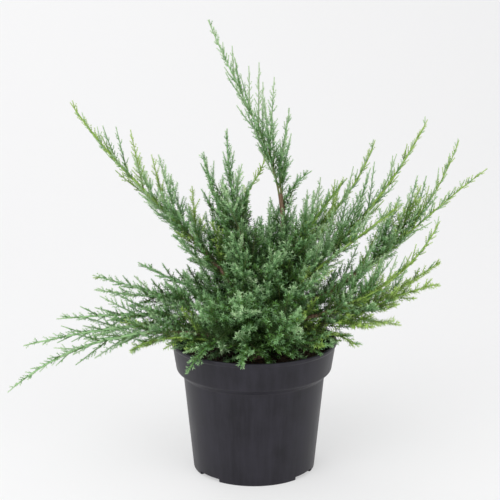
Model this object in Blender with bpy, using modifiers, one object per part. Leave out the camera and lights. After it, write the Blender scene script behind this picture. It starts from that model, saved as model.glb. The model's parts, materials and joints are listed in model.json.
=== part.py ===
"""A potted sea green juniper: a spreading shrub of arching plumes in its nursery pot.

The pot and its filling of soil carry a short trunk. Limbs leave the trunk all round, and each
ends in one or two plumes. A plume is a thin stem with sprays of needles fused on to it.
Metres, +Z up. The origin is the middle of the pot's flat underside, and -Y is the front.
"""

import math
import random
from collections import namedtuple

import bmesh
import bpy
import numpy as np
from mathutils import Matrix, Vector

for leftover in list(bpy.data.objects):
    bpy.data.objects.remove(leftover, do_unlink=True)

# Pot: a 19 cm nursery pot of about three litres
POT_HEIGHT = 0.152
LIP_RADIUS = 0.095
LIP_HEIGHT = 0.0035
LIP_STEP = 0.0015
BAND_HEIGHT = 0.033
BAND_FOOT_RADIUS = 0.0892
CHAMFER_HEIGHT = 0.010
WALL_TOP_RADIUS = 0.0813
BASE_RADIUS = 0.0703
WALL = 0.0012
FLOOR = 0.0015
POT_STEPS = 36
NOTCH_ANGLES = (-137, -35, 43, 145)
NOTCH_WIDTH = 26
NOTCH_HEIGHT = 0.004
NOTCH_DEPTH = 0.016
ROOF_MARGIN = 1.3
DRAIN_LENGTH = 0.008
DRAIN_WIDTH = 0.0035

# Soil: it fills the pot to 20 mm below the lip and lies flat round the trunk
SOIL_TOP = 0.132
SOIL_EDGE_DROP = 0.003
SOIL_FLAT_RADIUS = 0.025
SOIL_STEPS = 28

# Trunk: a short leaning stem with a flared foot
TRUNK_HEIGHT = 0.074
TRUNK_LEAN = (0.006, 0.002)
TRUNK_RADIUS = 0.0098
TRUNK_TOP_RADIUS = 0.0066
FLARE_RADIUS = 0.0145
FLARE_HEIGHT = 0.010
TRUNK_SECTIONS = 5
STRAIGHT_END = 0.07

# Limbs and sprays
GAP = 0.0003
CLEAR = 0.0006
NECK = 0.003
LIMB_ROOT_RADIUS = 0.0014
LIMB_TAPER = 0.0062
TWIN_TIP_RADIUS = 0.0027
STEM_TIP_RADIUS = 0.0005
SECTION_LENGTH = 0.021
SPRAY_PITCH = 0.0094
SPRAY_RADIUS = 0.0035
SHORTEST_SPRAY = 0.010
TIP_SPRAY = 0.018
SPRAY_WIDEST = 0.42
FIRST_SPRAY = 0.004
SIDE_SPRAY_FROM = 0.034
LEAVING_ANGLE = (42, 24)
UPWARD_PULL = 0.22
GOLDEN_TURN = math.radians(137.5)
SEED = 11

# One plume a row: where its tip stands (azimuth in degrees from +X, reach from the pot's axis,
# height), how high on the trunk its limb starts, the slopes in degrees at which it leaves and
# ends, how far it starts to one side of its azimuth, the share of it that is bare limb, and
# the length of its longest side sprays.
Plume = namedtuple("Plume", "azimuth reach tip foot lift rise veer bare spread")
PLUMES = {
    "leader": Plume(158, 0.054, 0.511, 0.206, 52, 66, -150, 0.36, 0.070),
    "left_high": Plume(170, 0.210, 0.418, 0.190, 54, 56, 0, 0.26, 0.056),
    "left_upper": Plume(150, 0.158, 0.222, 0.176, 24, 20, 0, 0.0, 0.042),
    "left_middle": Plume(173, 0.186, 0.221, 0.168, 20, 14, 0, 0.30, 0.038),
    "left_flat": Plume(190, 0.222, 0.187, 0.162, 20, -2, 0, 0.24, 0.042),
    "left_long": Plume(192, 0.259, 0.161, 0.154, 18, -10, -6, 0.28, 0.040),
    "left_longest": Plume(200, 0.283, 0.122, 0.146, 24, -38, 6, 0.30, 0.038),
    "left_rim": Plume(205, 0.150, 0.158, 0.141, 24, -24, 22, 0.0, 0.034),
    "upright": Plume(226, 0.042, 0.398, 0.200, 66, 90, 20, 0.44, 0.052),
    "upright_left": Plume(199, 0.060, 0.369, 0.198, 66, 72, -6, 0.0, 0.048),
    "upright_back": Plume(40, 0.086, 0.337, 0.203, 78, 18, 30, 0.0, 0.044),
    "right_upper": Plume(342, 0.106, 0.344, 0.198, 60, 50, 0, 0.0, 0.050),
    "right_back": Plume(34, 0.172, 0.366, 0.195, 48, 68, 14, 0.26, 0.052),
    "right_back_tall": Plume(24, 0.222, 0.391, 0.189, 36, 60, -6, 0.30, 0.056),
    "right_middle": Plume(342, 0.167, 0.319, 0.184, 44, 40, -4, 0.26, 0.046),
    "right_long": Plume(355, 0.256, 0.353, 0.176, 18, 38, 0, 0.42, 0.046),
    "right_curved": Plume(339, 0.212, 0.305, 0.168, 16, 66, -12, 0.34, 0.046),
    "right_low": Plume(347, 0.209, 0.254, 0.158, 6, 38, 0, 0.34, 0.042),
    "right_rim": Plume(345, 0.121, 0.153, 0.144, 24, -36, 0, 0.0, 0.034),
    "front_right": Plume(316, 0.118, 0.170, 0.143, 24, 4, -26, 0.0, 0.038),
    "front_light": Plume(288, 0.157, 0.223, 0.160, 16, 36, 0, 0.0, 0.038),
    "front_middle": Plume(262, 0.131, 0.234, 0.172, 30, 36, 0, 0.0, 0.038),
    "front_left": Plume(240, 0.122, 0.218, 0.164, 28, 24, 0, 0.0, 0.042),
    "front_left_rim": Plume(234, 0.122, 0.144, 0.150, 34, -46, 0, 0.0, 0.034),
    "front_low": Plume(263, 0.112, 0.154, 0.150, 30, -34, 0, 0.0, 0.036),
    "front_heart": Plume(290, 0.078, 0.272, 0.192, 60, 50, 0, 0.0, 0.042),
    "front_upper": Plume(250, 0.070, 0.290, 0.188, 58, 46, 0, 0.0, 0.042),
    "front_right_high": Plume(315, 0.112, 0.252, 0.177, 42, 36, 0, 0.0, 0.042),
    "back_right": Plume(56, 0.165, 0.262, 0.178, 36, 30, 0, 0.24, 0.046),
    "back_middle": Plume(80, 0.118, 0.284, 0.190, 54, 50, 0, 0.0, 0.044),
    "back": Plume(102, 0.168, 0.240, 0.172, 30, 24, 0, 0.24, 0.046),
    "back_left": Plume(127, 0.162, 0.245, 0.184, 38, 30, 0, 0.24, 0.046),
    "back_low": Plume(118, 0.190, 0.184, 0.150, 20, 2, 0, 0.0, 0.040),
    "back_right_low": Plume(74, 0.196, 0.190, 0.154, 18, 6, 0, 0.24, 0.042),
    "back_side_low": Plume(42, 0.190, 0.204, 0.148, 18, 16, 0, 0.0, 0.044),
}

# A second plume on a limb that already carries one: it starts beside the first at the limb's tip
Twin = namedtuple("Twin", "limb azimuth reach tip rise spread")
TWINS = {
    "leader_side": Twin("leader", 40, 0.052, 0.412, 84, 0.044),
    "left_front": Twin("left_middle", 192, 0.180, 0.220, 12, 0.036),
    "upright_cross": Twin("upright", 72, 0.048, 0.366, 70, 0.034),
    "right_high": Twin("right_long", 4, 0.230, 0.378, 72, 0.046),
    "right_lowest": Twin("right_low", 340, 0.212, 0.236, 18, 0.046),
}

# Needles are lightest at the plumes' outer ends and darkest low down inside the shrub
LIGHT_PLUMES = ("leader", "left_high", "right_long", "right_high", "right_back_tall", "right_low")
DARK_PLUMES = ("back_low", "back_right_low", "back_side_low", "front_heart", "back", "back_left")


def principled(name, colour, roughness):
    """A plain material whose colour is given as sRGB hex."""
    material = bpy.data.materials.new(name)
    material.use_nodes = True
    channels = [int(colour[i : i + 2], 16) / 255 for i in (0, 2, 4)]
    linear = [c / 12.92 if c <= 0.04045 else ((c + 0.055) / 1.055) ** 2.4 for c in channels]
    shader = material.node_tree.nodes["Principled BSDF"]
    shader.inputs["Base Color"].default_value = (*linear, 1.0)
    shader.inputs["Roughness"].default_value = roughness
    shader.inputs["Metallic"].default_value = 0.0
    material.diffuse_color = (*linear, 1.0)
    return material


def linked_collection(name):
    collection = bpy.data.collections.new(name)
    bpy.context.scene.collection.children.link(collection)
    return collection


def add_object(name, mesh, collection, material=None):
    thing = bpy.data.objects.new(name, mesh)
    collection.objects.link(thing)
    if material:
        mesh.materials.append(material)
    return thing


def mesh_of(shape, name):
    mesh = bpy.data.meshes.new(name)
    shape.to_mesh(mesh)
    shape.free()
    return mesh


juniper = linked_collection("potted_sea_green_juniper")
cutters = linked_collection("cutters")
plastic = principled("black_polypropylene", "36353A", 0.5)
loam = principled("potting_soil", "2E241C", 0.95)
bark = principled("juniper_bark", "7A5A44", 0.85)
needles = principled("juniper_needles", "4D6E40", 0.6)
light_needles = principled("young_juniper_needles", "7C9A66", 0.6)
dark_needles = principled("shaded_juniper_needles", "31492A", 0.65)


def turned(name, profile, steps, material):
    """A solid of revolution. The open profile starts and ends on the axis, outer side downwards."""
    shape = bmesh.new()
    corners = [shape.verts.new((radius, 0.0, height)) for radius, height in profile]
    for first, second in zip(corners, corners[1:]):
        shape.edges.new((first, second))
    body = add_object(name, mesh_of(shape, name), juniper, material)
    screw = body.modifiers.new("turn", "SCREW")
    screw.steps = steps
    screw.render_steps = steps
    screw.use_merge_vertices = True
    screw.merge_threshold = 0.00001
    screw.use_smooth_shade = True
    return body


def pot_wall(offset):
    """The band, chamfer and wall from top to bottom, moved in by the offset."""
    band_foot = POT_HEIGHT - BAND_HEIGHT
    return [
        (LIP_RADIUS - LIP_STEP - offset, POT_HEIGHT - LIP_HEIGHT - LIP_STEP),
        (BAND_FOOT_RADIUS - offset, band_foot),
        (WALL_TOP_RADIUS - offset, band_foot - CHAMFER_HEIGHT),
    ]


def sector(inner, outer, low, high, middle, width):
    """A block between two radii and two heights, swept round the axis through an arc."""
    shape = bmesh.new()
    corners = [(inner, low), (outer, low), (outer, high), (inner, high)]
    face = shape.faces.new([shape.verts.new((radius, 0.0, height)) for radius, height in corners])
    start = Matrix.Rotation(math.radians(middle - width / 2), 3, "Z")
    bmesh.ops.rotate(shape, verts=shape.verts, matrix=start)
    outline = [face, *face.edges, *face.verts]
    bmesh.ops.spin(shape, geom=outline, axis=(0, 0, 1), angle=math.radians(width), steps=4)
    bmesh.ops.recalc_face_normals(shape, faces=shape.faces)
    return shape


def drain_slot(middle):
    """A block that cuts a radial slot through the roof of a notch."""
    shape = bmesh.new()
    bmesh.ops.create_cube(shape, size=1.0)
    radius = BASE_RADIUS - NOTCH_DEPTH / 2
    turn = Matrix.Rotation(math.radians(middle), 4, "Z")
    place = turn @ Matrix.Translation((radius, 0.0, NOTCH_HEIGHT + FLOOR / 2))
    size = Matrix.Diagonal((DRAIN_LENGTH, DRAIN_WIDTH, 3 * FLOOR, 1.0))
    bmesh.ops.transform(shape, matrix=place @ size, verts=shape.verts)
    return shape


def boolean_with(body, operation, name, shape):
    """Joins a helper shape to the body, or cuts it away."""
    helper = add_object(name, mesh_of(shape, name), cutters)
    helper.hide_render = True
    helper.display_type = "WIRE"
    modifier = body.modifiers.new(name, "BOOLEAN")
    modifier.operation = operation
    modifier.object = helper


def make_pot():
    """A thin shell with a proud lip and a tapered band, and four notches with slots in its base."""
    profile = [
        (0.0, FLOOR),
        (BASE_RADIUS - WALL, FLOOR),
        *pot_wall(WALL)[::-1],
        (LIP_RADIUS - LIP_STEP - WALL, POT_HEIGHT),
        (LIP_RADIUS, POT_HEIGHT),
        (LIP_RADIUS, POT_HEIGHT - LIP_HEIGHT),
        *pot_wall(0.0),
        (BASE_RADIUS, 0.0),
        (0.0, 0.0),
    ]
    pot = turned("pot", profile, POT_STEPS, plastic)
    inner = BASE_RADIUS - NOTCH_DEPTH
    roof_top = NOTCH_HEIGHT + FLOOR
    for number, middle in enumerate(NOTCH_ANGLES):
        roof = sector(
            inner - FLOOR, BASE_RADIUS - WALL / 2, FLOOR / 2, roof_top, middle, NOTCH_WIDTH + 2 * ROOF_MARGIN
        )
        boolean_with(pot, "UNION", f"roof_{number}", roof)
    for number, middle in enumerate(NOTCH_ANGLES):
        notch = sector(inner, BASE_RADIUS + WALL, -FLOOR, NOTCH_HEIGHT, middle, NOTCH_WIDTH)
        boolean_with(pot, "DIFFERENCE", f"notch_{number}", notch)
        boolean_with(pot, "DIFFERENCE", f"slot_{number}", drain_slot(middle))


def make_soil():
    """Potting soil that rests on the notches' roofs and stays a hair clear of the wall."""
    bottom = NOTCH_HEIGHT + FLOOR + GAP
    top = SOIL_TOP - SOIL_EDGE_DROP
    inset = WALL + 2 * GAP
    band_foot = POT_HEIGHT - BAND_HEIGHT
    wall_rise = (WALL_TOP_RADIUS - BASE_RADIUS) / (band_foot - CHAMFER_HEIGHT)
    band_rise = (LIP_RADIUS - LIP_STEP - BAND_FOOT_RADIUS) / (BAND_HEIGHT - LIP_HEIGHT - LIP_STEP)
    profile = [
        (0.0, SOIL_TOP),
        (SOIL_FLAT_RADIUS, SOIL_TOP),
        ((SOIL_FLAT_RADIUS + BAND_FOOT_RADIUS) / 2, SOIL_TOP - SOIL_EDGE_DROP / 3),
        (BAND_FOOT_RADIUS - inset + band_rise * (top - band_foot), top),
        *pot_wall(inset)[1:],
        (BASE_RADIUS - inset + wall_rise * bottom, bottom),
        (0.0, bottom),
    ]
    turned("soil", profile, SOIL_STEPS, loam)


def heading(azimuth, slope):
    """The unit vector at an azimuth and a slope above the level, both in degrees."""
    around = math.radians(azimuth)
    up = math.radians(slope)
    return Vector((math.cos(around) * math.cos(up), math.sin(around) * math.cos(up), math.sin(up)))


def arc_between(start, leaving, end, arriving, sections):
    """Points along a smooth curve that leaves and arrives in the given directions."""
    handle = 0.37 * (end - start).length
    near = start + handle * leaving
    far = end - handle * arriving
    points = []
    for step in range(sections + 1):
        t = step / sections
        u = 1 - t
        points.append(u**3 * start + 3 * u * u * t * near + 3 * u * t * t * far + t**3 * end)
    return points


def length_of(points):
    return sum((b - a).length for a, b in zip(points, points[1:]))


def piece_of(points, start, end):
    """The stretch of a polyline between two lengths along it, with sections of even length."""
    stretch = end - start
    sections = max(2, round(stretch / SECTION_LENGTH))
    marks = [start + stretch * step / sections for step in range(sections + 1)]
    walked = np.cumsum([0.0] + [(b - a).length for a, b in zip(points, points[1:])])
    table = np.array(points)
    return [Vector([np.interp(mark, walked, table[:, axis]) for axis in range(3)]) for mark in marks]


def tube(name, points, radii, sides):
    """A tapering tube along the points, as a mesh with its end caps welded on."""
    curve = bpy.data.curves.new(name, "CURVE")
    curve.dimensions = "3D"
    curve.use_fill_caps = True
    if sides == 3:
        curve.bevel_mode = "OBJECT"
        curve.bevel_object = triangle
    else:
        curve.bevel_depth = 1.0
        curve.bevel_resolution = sides // 2 - 2
    spline = curve.splines.new("POLY")
    spline.points.add(len(points) - 1)
    for point, place, radius in zip(spline.points, points, radii):
        point.co = (*place, 1.0)
        point.radius = radius
    drawn = add_object(name, curve, cutters)
    graph = bpy.context.evaluated_depsgraph_get()
    mesh = bpy.data.meshes.new_from_object(drawn.evaluated_get(graph))
    bpy.data.objects.remove(drawn)
    shape = bmesh.new()
    shape.from_mesh(mesh)
    bmesh.ops.remove_doubles(shape, verts=shape.verts, dist=0.00001)
    bmesh.ops.recalc_face_normals(shape, faces=shape.faces)
    shape.to_mesh(mesh)
    shape.free()
    mesh.name = name
    return mesh


def triangle_profile():
    """A three-sided outline of radius one metre, which a point's radius then scales."""
    curve = bpy.data.curves.new("triangle", "CURVE")
    curve.dimensions = "2D"
    spline = curve.splines.new("POLY")
    spline.points.add(2)
    for number, point in enumerate(spline.points):
        angle = math.radians(90 + 120 * number)
        point.co = (math.cos(angle), math.sin(angle), 0.0, 1.0)
    spline.use_cyclic_u = True
    outline = add_object("triangle", curve, cutters)
    outline.hide_render = True
    outline.display_type = "WIRE"
    return outline


class Space:
    """What each node already fills, as round-ended rods, so that a new rod can keep clear."""

    def __init__(self):
        self.rods = np.zeros((0, 7))
        self.owners = np.zeros(0, int)
        self.names = []

    def add(self, owner, start, end, radius):
        if owner not in self.names:
            self.names.append(owner)
        self.rods = np.vstack([self.rods, [*start, *end, radius]])
        self.owners = np.append(self.owners, self.names.index(owner))

    def add_chain(self, owner, points, radii):
        for first, second, wide, narrow in zip(points, points[1:], radii, radii[1:]):
            self.add(owner, first, second, max(wide, narrow))

    def room(self, owner, start, end):
        """The distance from a rod's centre line to the nearest rod of another node."""
        others = self.rods[self.owners != self.names.index(owner)]
        first = np.array(start)
        along = np.array(end) - first
        ways = others[:, 3:6] - others[:, :3]
        offset = first - others[:, :3]
        a = along @ along
        e = np.einsum("ij,ij->i", ways, ways)
        b = ways @ along
        c = offset @ along
        f = np.einsum("ij,ij->i", ways, offset)
        s = np.clip((b * f - c * e) / np.maximum(a * e - b * b, 1e-18), 0, 1)
        t = np.clip((b * s + f) / e, 0, 1)
        s = np.clip((b * t - c) / a, 0, 1)
        apart = offset + s[:, None] * along - t[:, None] * ways
        return float((np.linalg.norm(apart, axis=1) - others[:, 6]).min())


def meets_pot(start, end, radius):
    """Whether a rod dips into the soil or comes too near the pot's rim."""
    margin = radius + 2 * CLEAR
    for step in range(5):
        point = start.lerp(end, step / 4)
        out = math.hypot(point.x, point.y)
        if out < LIP_RADIUS - 4 * WALL - margin:
            floor_height = SOIL_TOP
        elif out < LIP_RADIUS + margin:
            floor_height = POT_HEIGHT
        else:
            continue
        if point.z < floor_height + margin:
            return True
    return False


def trunk_radius(height):
    """The trunk tapers evenly above a foot that flares out to the soil."""
    share = (height - SOIL_TOP) / TRUNK_HEIGHT
    plain = TRUNK_RADIUS + (TRUNK_TOP_RADIUS - TRUNK_RADIUS) * share
    flare = (FLARE_RADIUS - TRUNK_RADIUS) * math.exp(-(height - SOIL_TOP) / FLARE_HEIGHT)
    return plain + flare


def trunk_axis(height):
    """The middle of the trunk, which stands upright at both cut ends and leans in between."""
    share = (height - SOIL_TOP) / TRUNK_HEIGHT
    bend = min(1.0, max(0.0, (share - STRAIGHT_END) / (1 - 2 * STRAIGHT_END)))
    sway = bend * bend * (3 - 2 * bend)
    return Vector((TRUNK_LEAN[0] * sway, TRUNK_LEAN[1] * sway, height))


def limb_radius(length):
    return LIMB_ROOT_RADIUS + LIMB_TAPER * length


def goes_on_from_trunk(plume):
    return plume.foot > SOIL_TOP + TRUNK_HEIGHT - GAP


def limb_start(plume, radius):
    """Just clear of the trunk's side, or a short neck above its flat top."""
    way = plume.azimuth + plume.veer
    lift = math.radians(plume.lift)
    if goes_on_from_trunk(plume):
        return trunk_axis(plume.foot) + Vector((0, 0, GAP + NECK))
    out = heading(way, 0)
    foot = trunk_axis(plume.foot)
    edges = (plume.foot, plume.foot + radius * math.cos(lift))
    bark_reach = max(trunk_axis(height).dot(out) + trunk_radius(height) for height in edges)
    return foot + out * (bark_reach - foot.dot(out) + GAP + radius * math.sin(lift))


def make_trunk():
    middle = [STRAIGHT_END + (1 - 2 * STRAIGHT_END) * step / TRUNK_SECTIONS for step in range(TRUNK_SECTIONS + 1)]
    heights = [SOIL_TOP + TRUNK_HEIGHT * share for share in (0.0, *middle, 1.0)]
    heights[0] += GAP
    points = [trunk_axis(height) for height in heights]
    radii = [trunk_radius(height) for height in heights]
    trunk = add_object("trunk", tube("trunk", points, radii, 12), juniper, bark)
    trunk.data.shade_smooth()
    space.add_chain("trunk", points, radii)


def lay_out_limbs():
    """The path and radii of each bare limb and each plume's stem, by name."""
    limbs = {}
    stems = {}
    twin_of = {twin.limb: name for name, twin in TWINS.items()}
    for name, plume in PLUMES.items():
        way = plume.azimuth + plume.veer
        tip = heading(plume.azimuth, 0) * plume.reach + Vector((0, 0, plume.tip))
        rough_length = (tip - trunk_axis(plume.foot)).length
        root = limb_radius(rough_length)
        start = limb_start(plume, root)
        arriving = heading(plume.azimuth, plume.rise)
        path = arc_between(start, heading(way, plume.lift), tip, arriving, 48)
        length = length_of(path)
        fork = plume.bare * length

        def radius_at(distance, root=root, length=length):
            return root + (STEM_TIP_RADIUS - root) * distance / length

        if plume.bare:
            limb = piece_of(path, 0.0, fork)
            if goes_on_from_trunk(plume):
                limb.insert(0, limb[0] - Vector((0, 0, NECK)))
            steps = len(limb) - 1
            end_radius = TWIN_TIP_RADIUS if name in twin_of else radius_at(fork)
            start_radius = max(root, end_radius)
            radii = [start_radius + (end_radius - start_radius) * step / steps for step in range(steps + 1)]
            limbs[name] = (limb, radii)
        stem = piece_of(path, fork + (GAP if plume.bare else 0.0), length)
        steps = len(stem) - 1
        top = radius_at(fork)
        if name in twin_of:
            top = TWIN_TIP_RADIUS / 2 - GAP
            onward = (limb[-1] - limb[-2]).normalized()
            twin = TWINS[twin_of[name]]
            twin_tip = heading(twin.azimuth, 0) * twin.reach + Vector((0, 0, twin.tip))
            aside = (twin_tip - limb[-1]) - (tip - limb[-1])
            aside = (aside - aside.dot(onward) * onward).normalized() * (top + GAP)
            begin = limb[-1] + GAP * onward
            arriving = heading(twin.azimuth, twin.rise)
            twin_path = arc_between(begin + aside, onward, twin_tip, arriving, 48)
            twin_stem = piece_of(twin_path, 0.0, length_of(twin_path))
            stems[twin_of[name]] = (twin_stem, tapered(top, len(twin_stem)))
            stem = [point - aside * (1 - step / steps) ** 2 for step, point in enumerate(stem)]
        stems[name] = (stem, tapered(top, len(stem)))
    return limbs, stems


def tapered(root, count):
    return [root + (STEM_TIP_RADIUS - root) * step / (count - 1) for step in range(count)]


def spray_plan(name, stem, radii, spread, chance):
    """Side sprays turn round the stem, long near its foot and short near its tip."""
    length = length_of(stem)
    walked = np.cumsum([0.0] + [(b - a).length for a, b in zip(stem, stem[1:])])
    places = np.array(stem)
    plan = [(stem[-1] - TIP_SPRAY * (stem[-1] - stem[-2]).normalized(), stem[-1], 0.6 * SPRAY_RADIUS)]
    turn = chance.uniform(0, math.tau)
    mark = FIRST_SPRAY
    while mark < length - 0.6 * TIP_SPRAY:
        share = mark / length
        index = min(int(np.searchsorted(walked, mark, "right")), len(stem) - 1)
        along = (stem[index] - stem[index - 1]).normalized()
        root = Vector([np.interp(mark, walked, places[:, axis]) for axis in range(3)])
        across = along.orthogonal().normalized()
        across.rotate(Matrix.Rotation(turn, 3, along))
        angle = math.radians(LEAVING_ANGLE[0] + (LEAVING_ANGLE[1] - LEAVING_ANGLE[0]) * share)
        way = along * math.cos(angle) + across * math.sin(angle)
        way = (way + Vector((0, 0, UPWARD_PULL))).normalized()
        fullness = min(1.0, 0.62 + 2.2 * share) * (1 - share) ** 0.75
        reach = max(SHORTEST_SPRAY, spread * fullness * (1 + 0.3 * across.z) * chance.uniform(0.8, 1.1))
        plan.append((root, root + way * reach, SPRAY_RADIUS * chance.uniform(0.8, 1.0)))
        if reach > SIDE_SPRAY_FROM:
            beside = way.cross(across.cross(along)).normalized()
            side_way = (way * 0.8 + beside * chance.choice((-0.6, 0.6))).normalized()
            side_root = root + way * reach * 0.4
            plan.append((side_root, side_root + side_way * reach * 0.45, SPRAY_RADIUS * 0.75))
        turn += GOLDEN_TURN
        mark += SPRAY_PITCH * chance.uniform(0.85, 1.15)
    return plan


def grow_sprays(stems):
    """Gives the plumes their sprays in turn, and leaves out each one that would touch."""
    spreads = {name: row.spread for name, row in {**PLUMES, **TWINS}.items()}
    plans = {}
    for order, (name, (stem, radii)) in enumerate(stems.items()):
        chance = random.Random(SEED + order)
        plans[name] = spray_plan(name, stem, radii, spreads[name], chance)
    grown = {name: [] for name in stems}
    for turn in range(max(len(plan) for plan in plans.values())):
        for name, plan in plans.items():
            if turn >= len(plan):
                continue
            root, tip, radius = plan[turn]
            for share in (1.0, 0.7, 0.45):
                end = root.lerp(tip, share)
                if (end - root).length < 0.8 * SHORTEST_SPRAY:
                    break
                if meets_pot(root, end, radius) or space.room(name, root, end) < radius + CLEAR:
                    continue
                space.add(name, root, end, radius)
                grown[name].append((root, end, radius))
                break
    return grown


def spray_mesh():
    """A slim three-sided core of unit length and radius, widest below its middle."""
    shape = bmesh.new()
    bmesh.ops.create_uvsphere(shape, u_segments=3, v_segments=2, radius=1.0)
    for corner in shape.verts:
        if abs(corner.co.z) < 0.5:
            corner.co.z = SPRAY_WIDEST
        else:
            corner.co.z = 0.0 if corner.co.z < 0 else 1.0
    return mesh_of(shape, "spray")


def spray_matrix(root, end, radius):
    """Places the unit core from a point on its stem to its tip."""
    way = end - root
    turn = way.to_track_quat("Z", "Y").to_matrix().to_4x4()
    return Matrix.Translation(root) @ turn @ Matrix.Diagonal((radius, radius, way.length, 1.0))


def keep_largest_body(mesh):
    """Drops loose scraps, and fills hollows sealed by the fusing, which are bodies facing inwards."""
    shape = bmesh.new()
    shape.from_mesh(mesh)
    unseen = set(shape.faces)
    bodies = []
    while unseen:
        body = {unseen.pop()}
        edge_of_body = list(body)
        while edge_of_body:
            face = edge_of_body.pop()
            for edge in face.edges:
                for other in edge.link_faces:
                    if other in unseen:
                        unseen.remove(other)
                        body.add(other)
                        edge_of_body.append(other)
        bodies.append(body)
    largest = max(bodies, key=len)
    extra = [face for body in bodies if body is not largest for face in body]
    bmesh.ops.delete(shape, geom=extra, context="FACES")
    shape.to_mesh(mesh)
    shape.free()


def is_closed(mesh):
    shape = bmesh.new()
    shape.from_mesh(mesh)
    closed = all(edge.is_manifold for edge in shape.edges)
    shape.free()
    return closed


def joined_mesh(body, helpers, solver):
    """The body's mesh with every object of the collection fused to it."""
    modifier = body.modifiers.new("join", "BOOLEAN")
    modifier.operation = "UNION"
    modifier.solver = solver
    modifier.operand_type = "COLLECTION"
    modifier.collection = helpers
    graph = bpy.context.evaluated_depsgraph_get()
    mesh = bpy.data.meshes.new_from_object(body.evaluated_get(graph))
    body.modifiers.clear()
    keep_largest_body(mesh)
    return mesh


def make_plume(name, stem, radii, sprays, material):
    """The stem with its sprays fused on, as one body."""
    body = add_object(f"{name}_foliage", tube(name, stem, radii, 3), juniper, material)
    helpers = linked_collection(f"{name}_sprays")
    for root, end, radius in sprays:
        spray = add_object("spray", core, helpers)
        spray.matrix_world = spray_matrix(root, end, radius)
    mesh = joined_mesh(body, helpers, "EXACT")
    if not is_closed(mesh):
        mesh = joined_mesh(body, helpers, "MANIFOLD")
    body.data = mesh
    for spray in list(helpers.objects):
        bpy.data.objects.remove(spray)
    bpy.data.collections.remove(helpers)


make_pot()
make_soil()
triangle = triangle_profile()
core = spray_mesh()
space = Space()
make_trunk()
limb_paths, stem_paths = lay_out_limbs()
for limb_name, (limb_points, limb_radii) in limb_paths.items():
    bough = add_object(
        f"{limb_name}_bough", tube(limb_name, limb_points, limb_radii, 6), juniper, bark
    )
    bough.data.shade_smooth()
    space.add_chain(f"{limb_name}_bough", limb_points, limb_radii)
for stem_name, (stem_points, stem_radii) in stem_paths.items():
    space.add_chain(stem_name, stem_points, stem_radii)
for plume_name, plume_sprays in grow_sprays(stem_paths).items():
    green = needles
    if plume_name in LIGHT_PLUMES:
        green = light_needles
    elif plume_name in DARK_PLUMES:
        green = dark_needles
    make_plume(plume_name, *stem_paths[plume_name], plume_sprays, green)
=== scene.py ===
"""Looks for a potted sea green juniper: moulded pot, crumbly soil, bark, twigs and needles.

The sections follow the plant as it is put together, from the pot up to the needles, and the
photographer's studio comes last. Metres, +Z up. -Y is the front.
"""

import json
import math
from collections import namedtuple

import bmesh
import bpy
import numpy as np
from mathutils import Matrix, Vector, noise

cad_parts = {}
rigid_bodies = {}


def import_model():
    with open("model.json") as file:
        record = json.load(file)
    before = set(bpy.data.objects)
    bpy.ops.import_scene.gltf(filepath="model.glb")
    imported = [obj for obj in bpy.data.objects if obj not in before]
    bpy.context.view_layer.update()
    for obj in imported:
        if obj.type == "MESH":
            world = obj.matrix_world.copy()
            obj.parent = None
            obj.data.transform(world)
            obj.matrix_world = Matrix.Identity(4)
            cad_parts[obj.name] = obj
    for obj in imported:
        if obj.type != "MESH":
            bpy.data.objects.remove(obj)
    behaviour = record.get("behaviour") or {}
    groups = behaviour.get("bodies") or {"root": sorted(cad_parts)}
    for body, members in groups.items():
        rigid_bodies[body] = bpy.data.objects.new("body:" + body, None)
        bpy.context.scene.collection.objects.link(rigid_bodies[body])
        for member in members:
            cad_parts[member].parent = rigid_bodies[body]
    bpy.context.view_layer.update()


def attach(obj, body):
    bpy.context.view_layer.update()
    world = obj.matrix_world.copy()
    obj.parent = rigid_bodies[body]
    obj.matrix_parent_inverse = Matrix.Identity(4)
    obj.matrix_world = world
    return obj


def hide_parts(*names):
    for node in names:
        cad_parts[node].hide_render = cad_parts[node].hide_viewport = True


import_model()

# Pot
# A three-litre nursery pot, injection moulded in black polypropylene. The mould leaves a proud
# lip, a tapered rim band with a chamfer under it, a drafted wall, and four notches in the foot
# that let water out from under the pot.
POT_HEIGHT = 0.152
LIP_RADIUS = 0.095
LIP_HEIGHT = 0.0035
LIP_STEP = 0.0015
BAND_HEIGHT = 0.033
BAND_FOOT_RADIUS = 0.0892
CHAMFER_HEIGHT = 0.007
WALL_TOP_RADIUS = 0.0813
BASE_RADIUS = 0.0703
WALL = 0.0012
FLOOR = 0.0015
POT_STEPS = 144
SAME_POINT = 0.00001
FILLET_STEPS = 4
LIP_FILLET = 0.0009
STEP_FILLET = 0.0008
BAND_FILLET = 0.0018
FOOT_FILLET = 0.0012
NOTCH_ANGLES = (-137, -35, 43, 145)
NOTCH_WIDTH = 26
NOTCH_HEIGHT = 0.004
NOTCH_DEPTH = 0.016
NOTCH_STEPS = 12
ROOF_MARGIN = 1.3
DRAIN_LENGTH = 0.008
DRAIN_WIDTH = 0.0035
POT_EDGE = 35
STREAK_WIDTH = 0.007
STREAK_LENGTH = 0.180
SCUFF_SIZE = 0.030
SKIN_GRAIN = 0.0012
BLACK_PLASTIC = "131119"
DUSTY_PLASTIC = "292730"


def linear(colour):
    """An sRGB hex value as the linear colour that shaders use."""
    channels = [int(colour[i : i + 2], 16) / 255 for i in (0, 2, 4)]
    return (*[c / 12.92 if c <= 0.04045 else ((c + 0.055) / 1.055) ** 2.4 for c in channels], 1.0)


def add_node(tree, kind, settings=None, links=None):
    """Adds a node. Settings name its properties or inputs, and links name inputs and their sources."""
    node = tree.nodes.new("ShaderNode" + kind)
    for name, value in (settings or {}).items():
        if hasattr(node, name):
            setattr(node, name, value)
        else:
            node.inputs[name].default_value = value
    for name, source in (links or {}).items():
        tree.links.new(source, node.inputs[name])
    return node


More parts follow.
